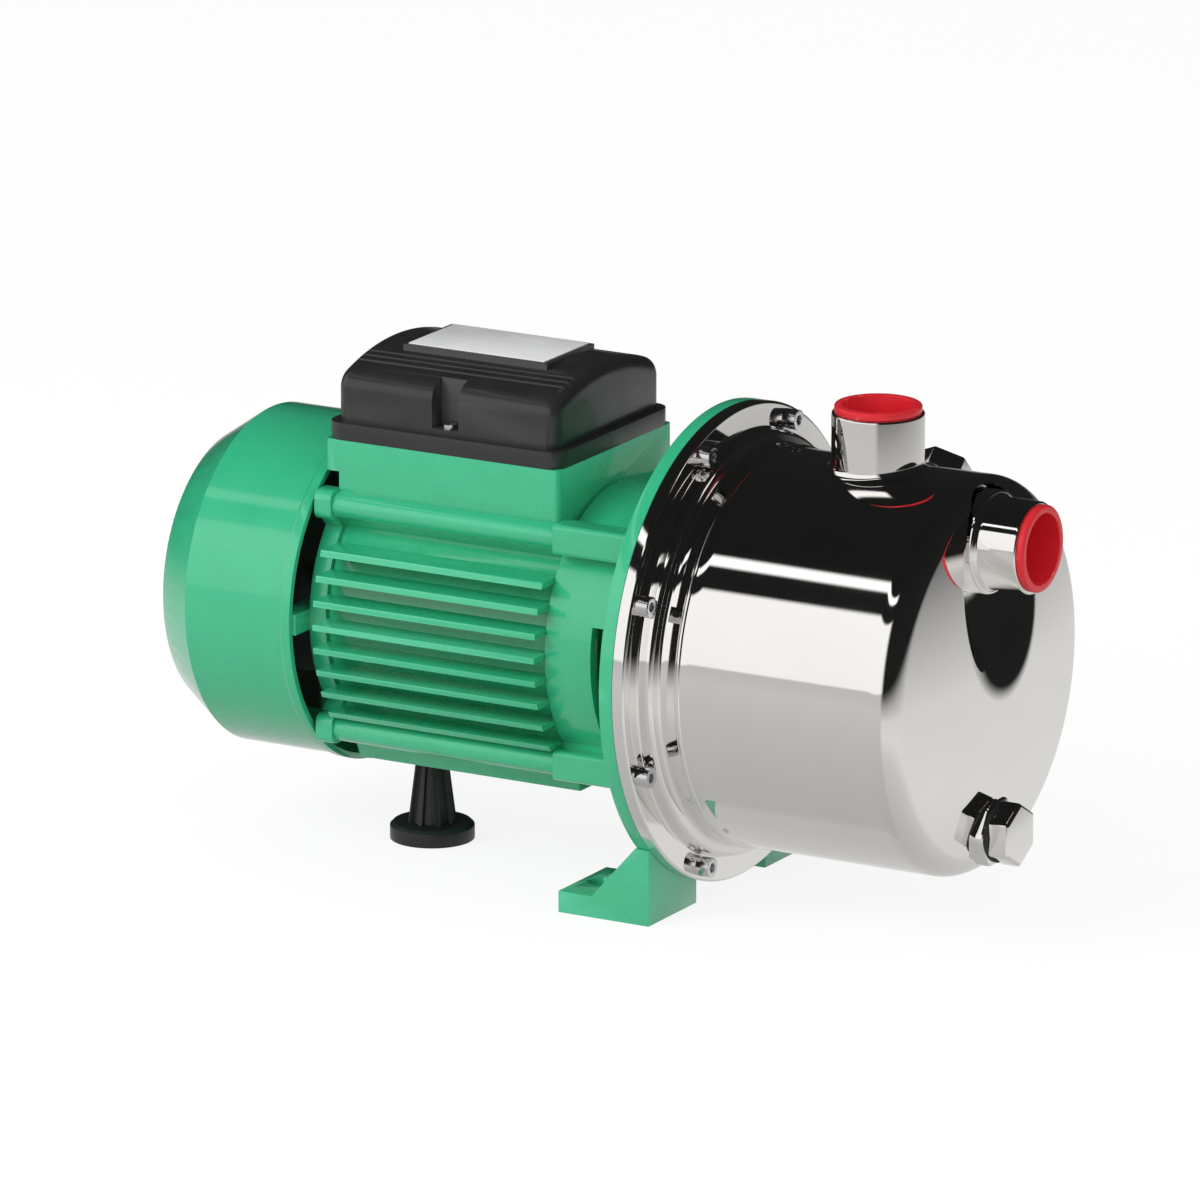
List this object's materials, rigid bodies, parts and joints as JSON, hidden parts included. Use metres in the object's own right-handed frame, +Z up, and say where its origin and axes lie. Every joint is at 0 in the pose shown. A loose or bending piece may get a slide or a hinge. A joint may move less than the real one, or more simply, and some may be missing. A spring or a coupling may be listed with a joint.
{
  "type": "centrifugal water pump",
  "caption": "Self-priming jet pump: finned electric motor with terminal box, polished steel casing, top discharge and front suction ports with push-in caps, feet.",
  "frame": {"origin": "on the surface that the feet stand on, midway between the two bolt holes of the front feet, under the shaft axis", "axes": "+X along the shaft towards the suction port, +Z up along the discharge port, +Y to the left seen from behind the motor"},
  "size_m": [0.3907, 0.204, 0.2223],
  "materials": {
    "green_paint": "gloss enamel on cast aluminium",
    "green_plastic": "gloss",
    "polished_steel": "mirror-polished stainless steel",
    "screw_steel": "bright zinc",
    "pressed_steel": "as pressed",
    "black_rubber": "satin moulded",
    "black_plastic": "satin moulded",
    "label": "blank film",
    "capacitor_can": "satin",
    "red_plastic": "satin moulded",
    "seal_rubber": "moulded",
    "ceramic": "lapped",
    "carbon": "lapped",
    "lamination": "stacked sheet",
    "copper_winding": "enamelled wire",
    "ground_steel": "ground",
    "bearing_steel": "ground",
    "cage_plastic": "moulded",
    "fan_plastic": "moulded",
    "impeller_brass": "cast and turned",
    "jet_plastic": "moulded"
  },
  "bodies": {
    "pump_body": {"front_bracket": "green_paint", "motor_frame": "green_paint", "rear_end_shield": "green_paint", "fan_cover": "green_plastic", "pump_casing": "polished_steel", "flange_screws": "screw_steel", "fan_cover_screws": "screw_steel", "tie_bolts": "screw_steel", "lid_screws": "screw_steel", "seal_plate": "pressed_steel", "rear_foot": "black_rubber", "terminal_tray": "black_plastic", "terminal_lid": "black_plastic", "cable_gland": "black_plastic", "terminal_block": "black_plastic", "nameplate": "label", "capacitor": "capacitor_can", "casing_o_ring": "seal_rubber", "seal_seat": "ceramic", "stator_core": "lamination", "stator_windings": "copper_winding", "front_bearing_outer_ring": "bearing_steel", "rear_bearing_outer_ring": "bearing_steel", "preload_washer": "screw_steel", "diffuser": "jet_plastic", "ejector_body": "jet_plastic", "jet_nozzle": "impeller_brass"},
    "rotor": {"shaft": "ground_steel", "rotor_core": "lamination", "fan": "fan_plastic", "slinger": "seal_rubber", "impeller": "impeller_brass", "impeller_nut": "screw_steel", "rotary_seal": "carbon", "seal_spring": "screw_steel", "front_bearing_inner_ring": "bearing_steel", "rear_bearing_inner_ring": "bearing_steel"},
    "bearing_balls": {"front_bearing_balls": "bearing_steel", "front_bearing_cage": "cage_plastic", "rear_bearing_balls": "bearing_steel", "rear_bearing_cage": "cage_plastic"},
    "drain_washer": {"drain_plug_washer": "seal_rubber"},
    "drain_plug": {"drain_plug": "polished_steel"},
    "priming_washer": {"priming_plug_washer": "seal_rubber"},
    "priming_plug": {"priming_plug": "polished_steel"},
    "discharge_cap": {"discharge_port_cap": "red_plastic"},
    "suction_cap": {"suction_port_cap": "red_plastic"}
  },
  "joints": [
    {"name": "rotor_spin", "type": "hinge", "parent": "pump_body", "child": "rotor", "pos_m": [-0.072, 0, 0.1075], "axis": [1, 0, 0], "continuous": true},
    {"name": "bearing_spin", "type": "hinge", "parent": "pump_body", "child": "bearing_balls", "pos_m": [-0.072, 0, 0.1075], "axis": [1, 0, 0], "continuous": true},
    {"name": "drain_travel", "type": "slide", "parent": "pump_body", "child": "drain_washer", "axis": [1, 0, 0], "range_m": [0, 0.0125]},
    {"name": "drain_turn", "type": "hinge", "parent": "drain_washer", "child": "drain_plug", "pos_m": [0.164, 0, 0.042], "axis": [1, 0, 0], "range_deg": [0, 3240]},
    {"name": "priming_travel", "type": "slide", "parent": "pump_body", "child": "priming_washer", "axis": [0, 0.7071, 0.7071], "range_m": [0, 0.0125]},
    {"name": "priming_turn", "type": "hinge", "parent": "priming_washer", "child": "priming_plug", "pos_m": [0.1, 0.0623, 0.1698], "axis": [0, 0.7071, 0.7071], "range_deg": [0, 3240]},
    {"name": "discharge_cap_pull", "type": "slide", "parent": "pump_body", "child": "discharge_cap", "axis": [0, 0, 1], "range_m": [0, 0.03]},
    {"name": "suction_cap_pull", "type": "slide", "parent": "pump_body", "child": "suction_cap", "axis": [1, 0, 0], "range_m": [0, 0.03]}
  ],
  "couplings": [
    {"joint": "bearing_spin", "follows": "rotor_spin", "ratio": 0.382},
    {"joint": "drain_travel", "follows": "drain_turn", "m_per_rad": 0.00021279},
    {"joint": "priming_travel", "follows": "priming_turn", "m_per_rad": 0.00021279}
  ]
}
